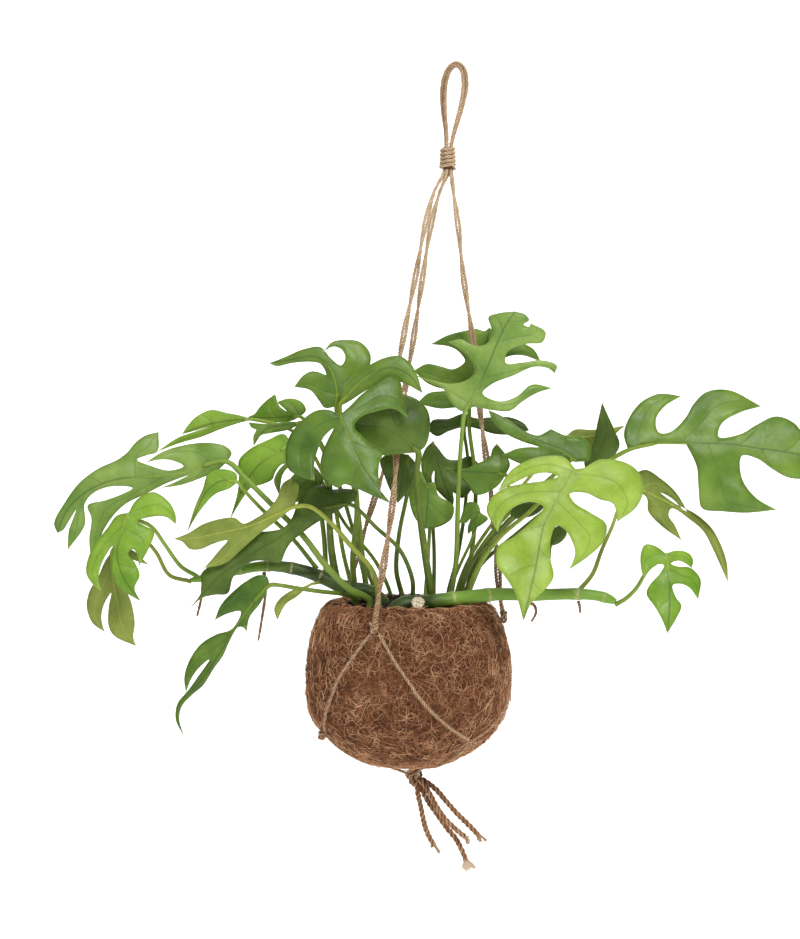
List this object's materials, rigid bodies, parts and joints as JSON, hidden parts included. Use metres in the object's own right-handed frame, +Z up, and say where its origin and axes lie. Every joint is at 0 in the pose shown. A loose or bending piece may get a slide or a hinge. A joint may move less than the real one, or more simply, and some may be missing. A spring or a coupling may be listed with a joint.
{
  "type": "hanging coir ball plant",
  "caption": "Open-mouthed coir fibre ball of potting mix, planted with a split-leaved climbing plant and carried in a knotted twine hanger that ends in a loop.",
  "frame": {"origin": "inside top of the twine loop, where a hook carries the plant", "axes": "+Z up, +X to the right as the plant is seen from the front, +Y towards the back"},
  "size_m": [0.5369, 0.1555, 0.5497],
  "materials": {
    "leaf_green": "satin",
    "leaf_lime": "satin",
    "leaf_olive": "satin",
    "leaf_dark": "satin",
    "vine": "satin",
    "root": "matte",
    "cut_stem": "matte",
    "potting_mix": "matte",
    "coir": "matte",
    "twine": "matte"
  },
  "bodies": {
    "root": {"coir_shell": "coir", "cut_stem": "cut_stem", "hanger_leg_back": "twine", "hanger_leg_front": "twine", "hanger_leg_right": "twine", "hanger_loop": "twine", "hanger_net": "twine", "hanger_tail_1": "twine", "hanger_tail_2": "twine", "hanger_tail_3": "twine", "hanger_tail_4": "twine", "leaf_centre_arching": "leaf_green", "leaf_centre_bright": "leaf_lime", "leaf_centre_dark": "leaf_dark", "leaf_centre_glossy": "leaf_green", "leaf_centre_shade": "leaf_dark", "leaf_centre_upper": "leaf_green", "leaf_left_arching": "leaf_olive", "leaf_left_broad": "leaf_green", "leaf_left_drooping": "leaf_green", "leaf_left_inner": "leaf_green", "leaf_left_light": "leaf_lime", "leaf_left_lime": "leaf_lime", "leaf_left_low": "leaf_dark", "leaf_left_narrow": "leaf_lime", "leaf_left_olive": "leaf_olive", "leaf_left_pointed": "leaf_green", "leaf_left_tendril": "leaf_olive", "leaf_left_upper": "leaf_lime", "leaf_mid_back": "leaf_dark", "leaf_mid_dark": "leaf_dark", "leaf_mid_green": "leaf_green", "leaf_mid_low": "leaf_green", "leaf_mid_small": "leaf_green", "leaf_right_broad": "leaf_green", "leaf_right_drooping": "leaf_olive", "leaf_right_grey": "leaf_olive", "leaf_right_inner": "leaf_green", "leaf_right_lime": "leaf_lime", "leaf_right_low": "leaf_dark", "leaf_right_small": "leaf_lime", "leaf_right_tiny": "leaf_dark", "leaf_right_upright": "leaf_dark", "leaf_top": "leaf_green", "leaf_top_back": "leaf_green", "potting_mix": "potting_mix", "root_left_long": "root", "root_left_short": "root", "root_right_long": "root", "root_right_short": "root", "vine_left": "vine", "vine_right": "vine"}
  },
  "joints": []
}
